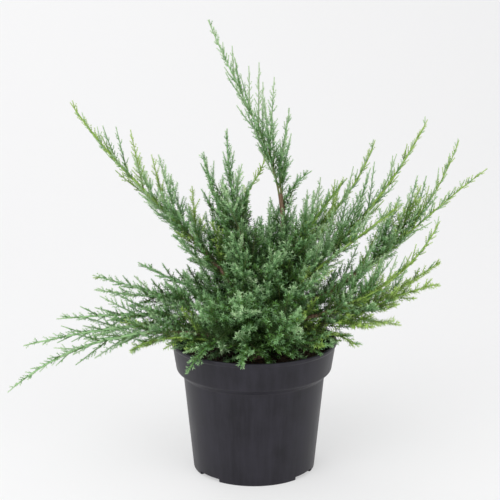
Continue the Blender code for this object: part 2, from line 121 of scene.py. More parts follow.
def new_material(name, settings):
    """A material whose one shader has these values, with its tree and that shader."""
    material = bpy.data.materials.new(name)
    material.use_nodes = True
    tree = material.node_tree
    tree.nodes.clear()
    shader = add_node(tree, "BsdfPrincipled", settings)
    add_node(tree, "OutputMaterial", links={"Surface": shader.outputs[0]})
    return material, tree, shader


def dress(tree, shader, pattern, stops, grain, strength, depth):
    """Colours a surface by one pattern, with these places and colours, and embosses it by another."""
    ramp = add_node(tree, "ValToRGB", links={"Fac": pattern.outputs[0]})
    for position, _ in stops[1:-1]:
        ramp.color_ramp.elements.new(position)
    for element, (position, colour) in zip(ramp.color_ramp.elements, stops):
        element.position = position
        element.color = linear(colour)
    relief = add_node(tree, "Bump", {"Strength": strength, "Distance": depth}, {"Height": grain.outputs[0]})
    tree.links.new(ramp.outputs[0], shader.inputs["Base Color"])
    tree.links.new(relief.outputs[0], shader.inputs["Normal"])


def moulded_polypropylene():
    """Recycled black polypropylene: a satin skin with flow streaks up the wall and fine scuffs."""
    settings = {"IOR": 1.49, "Specular IOR Level": 0.32}
    material, tree, shader = new_material("moulded_polypropylene", settings)
    place = add_node(tree, "TexCoord").outputs["Object"]
    scale = (1 / STREAK_WIDTH, 1 / STREAK_WIDTH, 1 / STREAK_LENGTH)
    stretched = add_node(tree, "Mapping", {"Scale": scale}, {"Vector": place}).outputs[0]
    settings = {"Scale": 1.0, "Detail": 4.0, "Roughness": 0.6}
    streaks = add_node(tree, "TexNoise", settings, {"Vector": stretched}).outputs[0]
    settings = {"Scale": 1 / SCUFF_SIZE, "Detail": 5.0}
    scuffs = add_node(tree, "TexNoise", settings, {"Vector": place}).outputs[0]
    settings = {"data_type": "FLOAT", "Factor": 0.45}
    both = add_node(tree, "Mix", settings, {"A": streaks, "B": scuffs})
    settings = {"From Min": 0.3, "From Max": 0.7, "To Min": 0.36, "To Max": 0.52}
    dullness = add_node(tree, "MapRange", settings, {"Value": both.outputs[0]})
    tree.links.new(dullness.outputs[0], shader.inputs["Roughness"])
    grain = add_node(tree, "TexNoise", {"Scale": 1 / SKIN_GRAIN, "Detail": 2.0}, {"Vector": place})
    stops = [(0.34, BLACK_PLASTIC), (0.68, DUSTY_PLASTIC)]
    dress(tree, shader, both, stops, grain, strength=0.12, depth=0.0002)
    return material


def in_scene(name, data):
    """A new object for this mesh, lamp or camera, linked to the scene."""
    thing = bpy.data.objects.new(name, data)
    bpy.context.scene.collection.objects.link(thing)
    return thing


def add_piece(name, mesh, material, slot, *nodes):
    """Puts a finished mesh in the scene as a piece that stands for these nodes."""
    piece = in_scene(name, mesh)
    mesh.materials.append(material)
    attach(piece, "root")
    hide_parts(*nodes)


def mesh_of(shape, name):
    """Closes a bmesh and returns it as a mesh."""
    mesh = bpy.data.meshes.new(name)
    shape.to_mesh(mesh)
    shape.free()
    return mesh


def rounded(corners):
    """An outline whose corners, each (radius, height, fillet), are turned into short arcs."""
    outline = [corners[0][:2]]
    for before, (x, z, fillet), after in zip(corners, corners[1:], corners[2:]):
        corner = Vector((x, z))
        back = (Vector(before[:2]) - corner).normalized()
        onward = (Vector(after[:2]) - corner).normalized()
        for step in range(FILLET_STEPS + 1 if fillet else 1):
            t = step / FILLET_STEPS
            bend = back * (1 - t) ** 2 + onward * t**2
            outline.append(tuple(corner + bend * fillet))
    outline.append(corners[-1][:2])
    return outline


def pot_outline():
    """From the middle of the pot's floor up the inside, over the lip and down to the foot."""
    band_foot = POT_HEIGHT - BAND_HEIGHT
    under_lip = POT_HEIGHT - LIP_HEIGHT
    shoulder = (LIP_RADIUS - LIP_STEP, under_lip - LIP_STEP)
    outside = [shoulder, (BAND_FOOT_RADIUS, band_foot), (WALL_TOP_RADIUS, band_foot - CHAMFER_HEIGHT)]
    inside = [(radius - WALL, height, BAND_FILLET) for radius, height in outside[::-1]]
    return rounded([
        (0.0, FLOOR, 0.0),
        (BASE_RADIUS - WALL, FLOOR, FOOT_FILLET),
        *inside,
        (LIP_RADIUS - LIP_STEP - WALL, POT_HEIGHT, LIP_FILLET / 2),
        (LIP_RADIUS, POT_HEIGHT, LIP_FILLET),
        (LIP_RADIUS, under_lip, LIP_FILLET),
        (*shoulder, STEP_FILLET),
        (*outside[1], BAND_FILLET),
        (*outside[2], BAND_FILLET),
        (BASE_RADIUS, 0.0, FOOT_FILLET),
        (0.0, 0.0, 0.0),
    ])


def turned(name, outline, steps):
    """The solid that an outline sweeps round the Z axis, smooth where it is round."""
    shape = bmesh.new()
    corners = [shape.verts.new((radius, 0.0, height)) for radius, height in outline]
    edges = [shape.edges.new(pair) for pair in zip(corners, corners[1:])]
    bmesh.ops.spin(
        shape, geom=[*corners, *edges], axis=(0, 0, 1), angle=math.tau, steps=steps, use_merge=True
    )
    bmesh.ops.remove_doubles(shape, verts=shape.verts, dist=SAME_POINT)
    bmesh.ops.recalc_face_normals(shape, faces=shape.faces)
    return mesh_of(shape, name)


def sector(inner, outer, low, high, middle, width):
    """A block between two radii and two heights, swept round the axis through an arc."""
    shape = bmesh.new()
    corners = [(inner, low), (outer, low), (outer, high), (inner, high)]
    face = shape.faces.new([shape.verts.new((radius, 0.0, height)) for radius, height in corners])
    start = Matrix.Rotation(math.radians(middle - width / 2), 3, "Z")
    bmesh.ops.rotate(shape, verts=shape.verts, matrix=start)
    outline = [face, *face.edges, *face.verts]
    bmesh.ops.spin(shape, geom=outline, axis=(0, 0, 1), angle=math.radians(width), steps=NOTCH_STEPS)
    bmesh.ops.recalc_face_normals(shape, faces=shape.faces)
    return mesh_of(shape, "sector")


def drain_slot(middle):
    """A block that cuts a radial slot through the roof of a notch."""
    shape = bmesh.new()
    bmesh.ops.create_cube(shape, size=1.0)
    radius = BASE_RADIUS - NOTCH_DEPTH / 2
    turn = Matrix.Rotation(math.radians(middle), 4, "Z")
    place = turn @ Matrix.Translation((radius, 0.0, NOTCH_HEIGHT + FLOOR / 2))
    size = Matrix.Diagonal((DRAIN_LENGTH, DRAIN_WIDTH, 3 * FLOOR, 1.0))
    bmesh.ops.transform(shape, matrix=place @ size, verts=shape.verts)
    return mesh_of(shape, "slot")


def combined(mesh, operation, helpers):
    """The mesh with the helper meshes joined to it or cut from it."""
    body = in_scene("body", mesh)
    cutters = bpy.data.collections.new("cutters")
    for number, helper in enumerate(helpers):
        cutters.objects.link(bpy.data.objects.new(f"cutter_{number}", helper))
    modifier = body.modifiers.new("shape", "BOOLEAN")
    modifier.operation = operation
    modifier.operand_type = "COLLECTION"
    modifier.collection = cutters
    graph = bpy.context.evaluated_depsgraph_get()
    result = bpy.data.meshes.new_from_object(body.evaluated_get(graph))
    for thing in [body, *cutters.objects]:
        bpy.data.objects.remove(thing)
    bpy.data.collections.remove(cutters)
    return result


def pot_mesh():
    """The turned shell, with notches cut in its foot, roofs over them and a slot through each roof."""
    inner = BASE_RADIUS - NOTCH_DEPTH
    roof_top = NOTCH_HEIGHT + FLOOR
    roof_width = NOTCH_WIDTH + 2 * ROOF_MARGIN
    roofs = []
    openings = []
    for middle in NOTCH_ANGLES:
        roofs.append(sector(inner - FLOOR, BASE_RADIUS - WALL / 2, FLOOR / 2, roof_top, middle, roof_width))
        openings.append(sector(inner, BASE_RADIUS + WALL, -FLOOR, NOTCH_HEIGHT, middle, NOTCH_WIDTH))
        openings.append(drain_slot(middle))
    mesh = turned("pot_shell", pot_outline(), POT_STEPS)
    mesh = combined(combined(mesh, "UNION", roofs), "DIFFERENCE", openings)
    mesh.shade_smooth()
    mesh.set_sharp_from_angle(angle=math.radians(POT_EDGE))
    return mesh


add_piece("pot_shell", pot_mesh(), moulded_polypropylene(), "pot_plastic", "pot")

# Soil
# Peat and composted bark, watered and settled to 20 mm below the lip. Its top is an uneven crust
# with loose crumbs and bits of bark on it, darkest where it is damp.
SOIL_TOP = 0.132
SOIL_EDGE_DROP = 0.003
SOIL_LUMP = 0.012
SOIL_BUMP = 0.004
SOIL_LUMP_HEIGHT = 0.0011
SOIL_RINGS = 40
SOIL_STEPS = 120
SOIL_SEED = 5
CRUMB_COUNT = 1400
CRUMB_SIZES = (0.0008, 0.0030)
CRUMB_SPREAD = 0.97
CRUMB_SHAPE = (0.7, 1.15)
CRUMB_LENGTH = (0.8, 1.7)
CRUMB_HEIGHT = (0.4, 0.9)
CRUMB_TIP = 0.5
CRUMB_LIFT = 0.2
GAP = 0.0003
PEAT_GRAIN = 0.0025
DAMP_PATCH = 0.025
PEAT_FIBRE = 0.0009
DAMP_PEAT = "1A130D"
DRY_BARK = "4A3727"


def loose_peat():
    """Dark brown fibres and crumbs with no shine. Bits of bark are redder and lighter."""
    material, tree, shader = new_material("loose_peat", {"Roughness": 0.95, "Specular IOR Level": 0.25})
    place = add_node(tree, "TexCoord").outputs["Object"]
    crumbs = add_node(tree, "TexVoronoi", {"Scale": 1 / PEAT_GRAIN}, {"Vector": place}).outputs["Color"]
    settings = {"Scale": 1 / DAMP_PATCH, "Detail": 4.0}
    damp = add_node(tree, "TexNoise", settings, {"Vector": place}).outputs[0]
    both = add_node(tree, "Mix", {"data_type": "FLOAT", "Factor": 0.5}, {"A": crumbs, "B": damp})
    fibre = add_node(tree, "TexNoise", {"Scale": 1 / PEAT_FIBRE, "Detail": 3.0}, {"Vector": place})
    dress(tree, shader, both, [(0.25, DAMP_PEAT), (0.75, DRY_BARK)], fibre, strength=0.7, depth=0.0006)
    return material


def soil_height(x, y):
    """The crust sinks towards the wall and has broad lumps with smaller ones on them."""
    out = math.hypot(x, y) / BAND_FOOT_RADIUS
    lumps = noise.noise(Vector((x, y, 0.0)) / SOIL_LUMP)
    lumps += 0.5 * noise.noise(Vector((x, y, 3.0)) / SOIL_BUMP)
    return SOIL_TOP - SOIL_EDGE_DROP * out * out + SOIL_LUMP_HEIGHT * lumps * min(1.0, out * 3)


def between(ends, share):
    """The value at this share of the way from the first of two values to the second."""
    return ends[0] + (ends[1] - ends[0]) * share


def soil_mesh():
    """The plug of soil with its lumpy top, and crumbs lying on it."""
    inset = WALL + 2 * GAP
    band_foot = POT_HEIGHT - BAND_HEIGHT
    bottom = NOTCH_HEIGHT + FLOOR + GAP
    wall_rise = (WALL_TOP_RADIUS - BASE_RADIUS) / (band_foot - CHAMFER_HEIGHT)
    rim = BAND_FOOT_RADIUS - inset
    outline = [(rim * step / SOIL_RINGS, SOIL_TOP) for step in range(SOIL_RINGS + 1)]
    outline += [
        (rim, band_foot),
        (WALL_TOP_RADIUS - inset, band_foot - CHAMFER_HEIGHT),
        (BASE_RADIUS - inset + wall_rise * bottom, bottom),
        (0.0, bottom),
    ]
    shape = bmesh.new()
    shape.from_mesh(turned("plug", outline, SOIL_STEPS))
    for corner in shape.verts:
        if corner.co.z > SOIL_TOP - GAP:
            corner.co.z = soil_height(corner.co.x, corner.co.y)
    chance = np.random.default_rng(SOIL_SEED)
    for _ in range(CRUMB_COUNT):
        out = rim * CRUMB_SPREAD * math.sqrt(chance.random())
        turn = chance.uniform(0, math.tau)
        x = out * math.cos(turn)
        y = out * math.sin(turn)
        size = between(CRUMB_SIZES, chance.random() ** 3)
        crumb = bmesh.ops.create_icosphere(shape, subdivisions=1, radius=size / 2)["verts"]
        for corner in crumb:
            corner.co *= chance.uniform(*CRUMB_SHAPE)
        flat = Matrix.Diagonal((chance.uniform(*CRUMB_LENGTH), 1.0, chance.uniform(*CRUMB_HEIGHT), 1.0))
        spin = Matrix.Rotation(chance.uniform(0, math.tau), 4, "Z")
        tip = Matrix.Rotation(chance.uniform(-CRUMB_TIP, CRUMB_TIP), 4, "X")
        place = Matrix.Translation((x, y, soil_height(x, y) + size * CRUMB_LIFT))
        bmesh.ops.transform(shape, matrix=place @ spin @ tip @ flat, verts=crumb)
    return mesh_of(shape, "potting_mix")


add_piece("potting_mix", soil_mesh(), loose_peat(), "potting_soil", "soil")

# Trunk and boughs
# The wood of a young juniper under thin reddish brown bark, which splits lengthwise and peels in
# fibrous strips. The trunk flares at its foot, and each bough swells a little where it leaves.
TRUNK_HEIGHT = 0.074
TRUNK_LEAN = (0.006, 0.002)
TRUNK_RADIUS = 0.0098
TRUNK_TOP_RADIUS = 0.0066
FLARE_RADIUS = 0.0145
FLARE_HEIGHT = 0.010
TRUNK_OVERRUN = 0.004
STRAIGHT_END = 0.07
NECK = 0.003
CURVE_HANDLE = 0.37
CURVE_SECTIONS = 48
LIMB_ROOT_RADIUS = 0.0014
LIMB_TAPER = 0.0062
TWIN_TIP_RADIUS = 0.0027
STEM_TIP_RADIUS = 0.0005
STEM_PITCH = 0.004
BARK_RING = 0.0012
BARK_RELIEF = 0.07
BARK_MEAN = 0.6
BARK_LUMP = 0.009
BARK_EDGE = 60
STRIP_WIDTH = 0.0018
STRIP_LENGTH = 0.016
TRUNK_SIDES = 44
BOUGH_SIDES = 20
COLLAR_SWELL = 0.35
COLLAR_LENGTH = 0.006
COLLAR_STEPS = 4
OLD_BARK = "46362A"
BROWN_BARK = "785F4E"
SPLIT_BARK = "A08872"

# One plume a row, as the solids have it: where its tip stands (azimuth in degrees from +X, reach
# from the pot's axis, height), how high on the trunk its limb starts, the slopes at which it
# leaves and ends, how far it starts to one side of its azimuth, the share of it that is bare
# limb, and the length of its longest side sprays. Last come how light its needles are, from 0
# for deep shade to 1 for a new tip, how slender it is, from 0 for a blunt dense plume to 1 for a
# long thin one that grew this year, and how far its side shoots stand out, 1 for most plumes.
Plume = namedtuple("Plume", "azimuth reach tip foot lift rise veer bare spread light slender full")
PLUMES = {
    "leader": Plume(158, 0.054, 0.511, 0.206, 52, 66, -150, 0.36, 0.052, 0.62, 0.90, 1.15),
    "left_high": Plume(170, 0.210, 0.418, 0.190, 54, 56, 0, 0.26, 0.050, 0.60, 0.80, 0.92),
    "left_upper": Plume(150, 0.158, 0.222, 0.176, 24, 20, 0, 0.0, 0.042, 0.44, 0.50, 0.72),
    "left_middle": Plume(173, 0.186, 0.221, 0.168, 20, 14, 0, 0.30, 0.038, 0.54, 0.55, 0.62),
    "left_flat": Plume(190, 0.222, 0.187, 0.162, 20, -2, 0, 0.24, 0.038, 0.57, 0.65, 1.00),
    "left_long": Plume(192, 0.259, 0.161, 0.154, 18, -10, -6, 0.28, 0.040, 0.57, 0.80, 0.95),
    "left_longest": Plume(200, 0.283, 0.122, 0.146, 24, -38, 6, 0.30, 0.038, 0.60, 0.80, 0.80),
    "left_rim": Plume(205, 0.150, 0.158, 0.141, 24, -24, 22, 0.0, 0.034, 0.50, 0.20, 0.80),
    "upright": Plume(226, 0.042, 0.398, 0.200, 66, 90, 20, 0.44, 0.056, 0.47, 0.55, 0.90),
    "upright_left": Plume(199, 0.060, 0.369, 0.198, 66, 72, -6, 0.0, 0.052, 0.46, 0.50, 0.90),
    "upright_back": Plume(40, 0.086, 0.337, 0.203, 78, 18, 30, 0.0, 0.028, 0.52, 0.70, 0.35),
    "right_upper": Plume(342, 0.106, 0.344, 0.198, 60, 50, 0, 0.0, 0.050, 0.46, 0.60, 0.80),
    "right_back": Plume(34, 0.172, 0.366, 0.195, 48, 68, 14, 0.26, 0.052, 0.55, 0.85, 0.80),
    "right_back_tall": Plume(24, 0.222, 0.391, 0.189, 36, 60, -6, 0.30, 0.056, 0.62, 1.00, 0.85),
    "right_middle": Plume(342, 0.167, 0.319, 0.184, 44, 40, -4, 0.26, 0.046, 0.49, 0.60, 0.80),
    "right_long": Plume(355, 0.256, 0.353, 0.176, 18, 38, 0, 0.42, 0.046, 0.60, 1.00, 0.85),
    "right_curved": Plume(339, 0.212, 0.305, 0.168, 16, 66, -12, 0.34, 0.046, 0.56, 0.80, 0.80),
    "right_low": Plume(347, 0.209, 0.254, 0.158, 6, 38, 0, 0.34, 0.042, 0.62, 0.45, 0.80),
    "right_rim": Plume(345, 0.121, 0.153, 0.144, 24, -36, 0, 0.0, 0.034, 0.54, 0.30, 1.00),
    "front_right": Plume(316, 0.118, 0.170, 0.143, 24, 4, -26, 0.0, 0.038, 0.38, 0.20, 1.00),
    "front_light": Plume(288, 0.157, 0.223, 0.160, 16, 36, 0, 0.0, 0.038, 0.38, 0.20, 1.00),
    "front_middle": Plume(262, 0.131, 0.234, 0.172, 30, 36, 0, 0.0, 0.038, 0.38, 0.20, 1.00),
    "front_left": Plume(240, 0.122, 0.218, 0.164, 28, 24, 0, 0.0, 0.042, 0.38, 0.20, 1.00),
    "front_left_rim": Plume(234, 0.122, 0.144, 0.150, 34, -46, 0, 0.0, 0.034, 0.38, 0.30, 1.00),
    "front_low": Plume(263, 0.112, 0.154, 0.150, 30, -34, 0, 0.0, 0.036, 0.36, 0.30, 1.00),
    "front_heart": Plume(290, 0.078, 0.272, 0.192, 60, 50, 0, 0.0, 0.036, 0.44, 0.30, 1.00),
    "front_upper": Plume(250, 0.070, 0.290, 0.188, 58, 46, 0, 0.0, 0.036, 0.44, 0.40, 1.00),
    "front_right_high": Plume(315, 0.112, 0.252, 0.177, 42, 36, 0, 0.0, 0.042, 0.48, 0.40, 1.00),
    "back_right": Plume(56, 0.165, 0.262, 0.178, 36, 30, 0, 0.24, 0.046, 0.45, 0.40, 1.00),
    "back_middle": Plume(80, 0.118, 0.284, 0.190, 54, 50, 0, 0.0, 0.040, 0.45, 0.50, 0.85),
    "back": Plume(102, 0.168, 0.240, 0.172, 30, 24, 0, 0.24, 0.046, 0.45, 0.40, 1.00),
    "back_left": Plume(127, 0.162, 0.245, 0.184, 38, 30, 0, 0.24, 0.046, 0.45, 0.40, 1.00),
    "back_low": Plume(118, 0.190, 0.184, 0.150, 20, 2, 0, 0.0, 0.040, 0.45, 0.40, 1.00),
    "back_right_low": Plume(74, 0.196, 0.190, 0.154, 18, 6, 0, 0.24, 0.042, 0.45, 0.40, 1.00),
    "back_side_low": Plume(42, 0.190, 0.204, 0.148, 18, 16, 0, 0.0, 0.044, 0.45, 0.40, 1.00),
}

# A second plume on a limb that already carries one: it starts beside the first at the limb's tip
Twin = namedtuple("Twin", "limb azimuth reach tip rise spread light slender full")
TWINS = {
    "leader_side": Twin("leader", 40, 0.052, 0.412, 84, 0.030, 0.60, 0.95, 0.60),
    "left_front": Twin("left_middle", 192, 0.180, 0.220, 12, 0.036, 0.56, 0.55, 0.62),
    "upright_cross": Twin("upright", 72, 0.048, 0.366, 70, 0.018, 0.64, 0.95, 0.32),
    "right_high": Twin("right_long", 4, 0.230, 0.378, 72, 0.046, 0.60, 1.00, 0.85),
    "right_lowest": Twin("right_low", 340, 0.212, 0.236, 18, 0.046, 0.66, 0.35, 0.80),
}


def heading(azimuth, slope):
    """The unit vector at an azimuth and a slope above the level, both in degrees."""
    around = math.radians(azimuth)
    up = math.radians(slope)
    return Vector((math.cos(around) * math.cos(up), math.sin(around) * math.cos(up), math.sin(up)))


def arc_between(start, leaving, end, arriving):
    """Points along a smooth curve that leaves and arrives in the given directions."""
    handle = CURVE_HANDLE * (end - start).length
    near = start + handle * leaving
    far = end - handle * arriving
    points = []
    for step in range(CURVE_SECTIONS + 1):
        t = step / CURVE_SECTIONS
        u = 1 - t
        points.append(u**3 * start + 3 * u * u * t * near + 3 * u * t * t * far + t**3 * end)
    return points


def walked_along(points):
    """The distance from the first point to each one along a line."""
    return np.cumsum([0.0] + [(b - a).length for a, b in zip(points, points[1:])])


def piece_of(points, start, end, pitch):
    """The stretch of a line between two lengths along it, with sections of even length."""
    stretch = end - start
    sections = max(2, round(stretch / pitch))
    marks = [start + stretch * step / sections for step in range(sections + 1)]
    walked = walked_along(points)
    table = np.array(points)
    return [Vector([np.interp(mark, walked, table[:, axis]) for axis in range(3)]) for mark in marks]


def trunk_radius(height):
    """The trunk tapers evenly above a foot that flares out to the soil."""
    share = (height - SOIL_TOP) / TRUNK_HEIGHT
    flare = (FLARE_RADIUS - TRUNK_RADIUS) * math.exp(-(height - SOIL_TOP) / FLARE_HEIGHT)
    return between((TRUNK_RADIUS, TRUNK_TOP_RADIUS), share) + flare


def trunk_axis(height):
    """The middle of the trunk, which stands upright at both cut ends and leans in between."""
    share = (height - SOIL_TOP) / TRUNK_HEIGHT
    bend = min(1.0, max(0.0, (share - STRAIGHT_END) / (1 - 2 * STRAIGHT_END)))
    sway = bend * bend * (3 - 2 * bend)
    return Vector((TRUNK_LEAN[0] * sway, TRUNK_LEAN[1] * sway, height))


def limb_start(plume, radius):
    """Just clear of the trunk's side, or a short neck above its flat top."""
    way = plume.azimuth + plume.veer
    lift = math.radians(plume.lift)
    if plume.foot > SOIL_TOP + TRUNK_HEIGHT - GAP:
        return trunk_axis(plume.foot) + Vector((0, 0, GAP + NECK))
    out = heading(way, 0)
    foot = trunk_axis(plume.foot)
    edges = (plume.foot, plume.foot + radius * math.cos(lift))
    bark_reach = max(trunk_axis(height).dot(out) + trunk_radius(height) for height in edges)
    return foot + out * (bark_reach - foot.dot(out) + GAP + radius * math.sin(lift))


def tapered(root, count, tip=STEM_TIP_RADIUS):
    """Evenly shrinking radii."""
    return [root + (tip - root) * step / (count - 1) for step in range(count)]


def tip_of(row):
    """Where a plume or a twin ends."""
    return heading(row.azimuth, 0) * row.reach + Vector((0, 0, row.tip))


def lay_out_limbs():
    """The path and radii of each bare limb and each plume's stem, by name."""
    limbs = {}
    stems = {}
    twin_of = {twin.limb: name for name, twin in TWINS.items()}
    for name, plume in PLUMES.items():
        way = plume.azimuth + plume.veer
        tip = tip_of(plume)
        root = LIMB_ROOT_RADIUS + LIMB_TAPER * (tip - trunk_axis(plume.foot)).length
        start = limb_start(plume, root)
        path = arc_between(start, heading(way, plume.lift), tip, heading(plume.azimuth, plume.rise))
        length = walked_along(path)[-1]
        fork = plume.bare * length
        top = root + (STEM_TIP_RADIUS - root) * plume.bare
        if plume.bare:
            limb = piece_of(path, 0.0, fork, BARK_RING)
            end_radius = TWIN_TIP_RADIUS if name in twin_of else top
            limbs[name] = (limb, tapered(max(root, end_radius), len(limb), end_radius))
        stem = piece_of(path, fork, length, STEM_PITCH)
        if name in twin_of:
            twin = TWINS[twin_of[name]]
            top = TWIN_TIP_RADIUS / 2
            onward = (limb[-1] - limb[-2]).normalized()
            aside = tip_of(twin) - tip
            aside = (aside - aside.dot(onward) * onward).normalized() * top
            arriving = heading(twin.azimuth, twin.rise)
            twin_path = arc_between(limb[-1] + aside, onward, tip_of(twin), arriving)
            twin_stem = piece_of(twin_path, 0.0, walked_along(twin_path)[-1], STEM_PITCH)
            stems[twin_of[name]] = (twin_stem, tapered(top, len(twin_stem)))
            steps = len(stem) - 1
            stem = [point - aside * (1 - step / steps) ** 2 for step, point in enumerate(stem)]
        stems[name] = (stem, tapered(top, len(stem)))
    return limbs, stems


def bark_tube(name, points, radii, sides):
    """A round limb with strips of bark standing out of it, closed at both ends."""
    shape = bmesh.new()
    rings = []
    across = (points[1] - points[0]).orthogonal().normalized()
    walked = walked_along(points)
    for index, (point, radius) in enumerate(zip(points, radii)):
        near = points[max(0, index - 1)]
        far = points[min(len(points) - 1, index + 1)]
        along = (far - near).normalized()
        across = (across - across.dot(along) * along).normalized()
        beside = along.cross(across)
        ring = []
        for side in range(sides):
            angle = math.tau * side / sides
            out = across * math.cos(angle) + beside * math.sin(angle)
            spot = out * radius / STRIP_WIDTH + Vector((0, 0, walked[index] / STRIP_LENGTH + len(name)))
            ridge = 1 - 2 * abs(noise.noise(spot))
            lump = noise.noise((point + out * radius) / BARK_LUMP)
            relief = 1 + BARK_RELIEF * (ridge + lump - BARK_MEAN)
            ring.append(shape.verts.new(point + out * radius * relief))
        rings.append(ring)
    for lower, upper in zip(rings, rings[1:]):
        for side in range(sides):
            onward = (side + 1) % sides
            shape.faces.new((lower[side], lower[onward], upper[onward], upper[side]))
    shape.faces.new(rings[0][::-1])
    shape.faces.new(rings[-1])
    mesh = mesh_of(shape, name)
    mesh.shade_smooth()
    mesh.set_sharp_from_angle(angle=math.radians(BARK_EDGE))
    return mesh


def peeling_bark():
    """Thin juniper bark: dull, fibrous, reddish where strips have come away and grey on old ones."""
    material, tree, shader = new_material("peeling_bark", {"Roughness": 0.85, "Specular IOR Level": 0.3})
    place = add_node(tree, "TexCoord").outputs["Object"]
    scale = (1 / STRIP_WIDTH, 1 / STRIP_WIDTH, 1 / STRIP_LENGTH)
    strips = add_node(tree, "Mapping", {"Scale": scale}, {"Vector": place}).outputs[0]
    settings = {"Scale": 1.0, "Detail": 5.0, "Roughness": 0.65}
    fibres = add_node(tree, "TexNoise", settings, {"Vector": strips})
    stops = [(0.3, OLD_BARK), (0.5, BROWN_BARK), (0.7, SPLIT_BARK)]
    dress(tree, shader, fibres, stops, fibres, strength=0.6, depth=0.0005)
    return material


def collared(points, radii):
    """A bough's line, carried on into the trunk, and its radii, swollen where it leaves."""
    inward = (points[0] - points[1]).normalized() * COLLAR_LENGTH
    root = [points[0] + inward * (1 - step / COLLAR_STEPS) for step in range(COLLAR_STEPS)]
    sizes = COLLAR_STEPS * [radii[0]] + radii
    swelling = [1 + COLLAR_SWELL * math.exp(-max(0, step - 2) / 3) for step in range(len(sizes))]
    return root + points, [size * swell for size, swell in zip(sizes, swelling)]


bark = peeling_bark()
limb_paths, stem_paths = lay_out_limbs()
trunk_heights = np.arange(SOIL_TOP - TRUNK_OVERRUN, SOIL_TOP + TRUNK_HEIGHT + TRUNK_OVERRUN, BARK_RING)
trunk_points = [trunk_axis(height) for height in trunk_heights]
trunk_radii = [trunk_radius(height) for height in trunk_heights]
add_piece("trunk_bark", bark_tube("trunk", trunk_points, trunk_radii, TRUNK_SIDES), bark, "bark", "trunk")
for name, limb in limb_paths.items():
    bough_mesh = bark_tube(f"{name}_bough", *collared(*limb), BOUGH_SIDES)
    add_piece(f"{name}_bough_bark", bough_mesh, bark, "bark", f"{name}_bough")

# Twigs
# Each limb carries shoots turned round it by the golden angle, long near its foot and short at
# its tip. Each shoot carries branchlets, and the longer branchlets carry finer ones. Young wood
# is brown at the foot of a stem. Branchlets are green, clad in small leaves like scales.
GOLDEN_TURN = math.radians(137.5)
FOLIAGE_REST = 0.003
DEEPEST_DIP = 0.012
SEED = 11

# The least and the most of what is left to chance
SPACING = (0.8, 1.2)
SHOOT_LUCK = (0.7, 1.2)
SHORTEST_SHOOT = (0.0056, 0.0091)
TRUNK_SHOOT_ANGLES = (70, 105)
TRUNK_SHOOT_LENGTHS = (0.030, 0.062)
BRANCHLET_PLACE = (0.4, 1.0)
BRANCHLET_LUCK = (0.75, 1.2)

# Shoots on a limb. A pair holds the value for a blunt plume, and the one for a slender plume.
SHOOT_PITCH = (0.0070, 0.0072)
CLOSER_BY_FORK = 1.42
BLUNT_END = (0.010, 0.002)
REACH_TO_TIP = (0.55, 0.50)
TAPER_TO_TIP = (1.0, 1.5)
FULLNESS = (1.25, 1.0)
BOUGH_SHOOT_PITCH = 0.0055
BOUGH_SHOOT_SHARE = (0.95, 0.66)
SLENDER_FROM = 0.55
CLEAR_END = 0.006
FOOT_ANGLE = (46, 30)
TIP_ANGLE = (26, 18)
LEAVING_JITTER = 6
UPWARD_PULL = 0.22
UPPER_SIDE = 0.5
SHOOT_CURVE = (0.16, 0.24)
SHOOT_RADIUS = 0.0004
SHOOT_RADIUS_GAIN = 0.007
SHOOT_SECTIONS = 6
SHOOT_SIDES = 4
TO_THE_RIGHT = 0.02

# Short shoots low on the trunk, between two shares of its height
TRUNK_SHOOTS = 26
TRUNK_SHOOTS_SPAN = (0.08, 0.70)

# Branchlets on a shoot. A pair holds the value for a slender shoot, and the one for a bushy shoot.
BRANCHLET_PITCH = (0.0027, 0.0052)
FINE_PITCH = (0.0060, 0.0080)
FINE_FROM = 0.0150
PLAIN_END = (0.0090, 0.0030)
LEAST_CLAD = 0.3
BRANCHLET_FOOT_ANGLE = (44, 47)
BRANCHLET_TIP_ANGLE = (30, 34)
BRANCHLET_SHARE = (0.13, 0.54)
BRANCHLET_TAPER = 0.7
SHORTEST_BRANCHLET = 0.0044
LONGEST_BRANCHLET = 0.0240
STEM_BRANCHLET = 0.0070
SPRAY_TURN = (1.5, 0.35)
SPRAY_ROLL = (1.2, 0.28)
BRANCHLET_CURVE = 0.16
BRANCHLET_RADIUS = 0.00032
BRANCHLET_RADIUS_GAIN = 0.012
BRANCHLET_SECTIONS = 2
BRANCHLET_SIDES = 3
TIP_THICKNESS = 0.4

# The stem of a plume, brown for its first stretch
BROWN_SHARE = 0.18
BROWN_OVERLAP = 0.004
STEM_SECTIONS = 16
BROWN_STEM_SIDES = 6
GREEN_STEM_SIDES = 5
YOUNG_BARK = "6E7644"

# How light sprays are, from 0 in deep shade to 1 at a new tip, partly their own colour and partly
# painted shade and light. Along a limb they grow lighter towards its tip, because new growth is
# paler and because painted shade darkens them near the trunk, and shoots low on the trunk are
# painted dark. Those in the open are never dark: painted light.
TONE_RISE = 0.32
TONE_MIDDLE = 0.6
SHOOT_TONE = 0.13
TRUNK_SHOOT_LIGHT = 0.34
HEART = (0.0, 0.0, 0.2)
IN_THE_OPEN = 0.155
OPEN_TONE = 0.48
# Branchlets grow lighter towards the tip of their shoot: paler new growth, and painted shade near its foot
BRANCHLET_TONE_RISE = 0.26
BRANCHLET_TONE_MIDDLE = 0.4
BRANCHLET_TONE = 0.03

# The leader's bark shows between these heights, where its shoots stand only on its right
BARE_STRETCHES = {"leader": (0.283, 0.338), "leader_side": (0.283, 0.338)}

# The share of yellowish sprays on a blunt plume, and on those that stand in more sun
LIME_SHARE = 0.05
LIME_STEM_FROM = 0.14
LIME_PLUMES = {
    "right_lowest": 0.95,
    "right_low": 0.80,
    "right_rim": 0.30,
    "front_right": 0.08,
    "right_upper": 0.15,
    "right_middle": 0.20,
    "right_curved": 0.30,
    "right_back": 0.15,
    "right_back_tall": 0.15,
    "right_long": 0.15,
    "right_high": 0.15,
    "left_high": 0.20,
    "left_rim": 0.20,
    "upright_cross": 0.35,
}

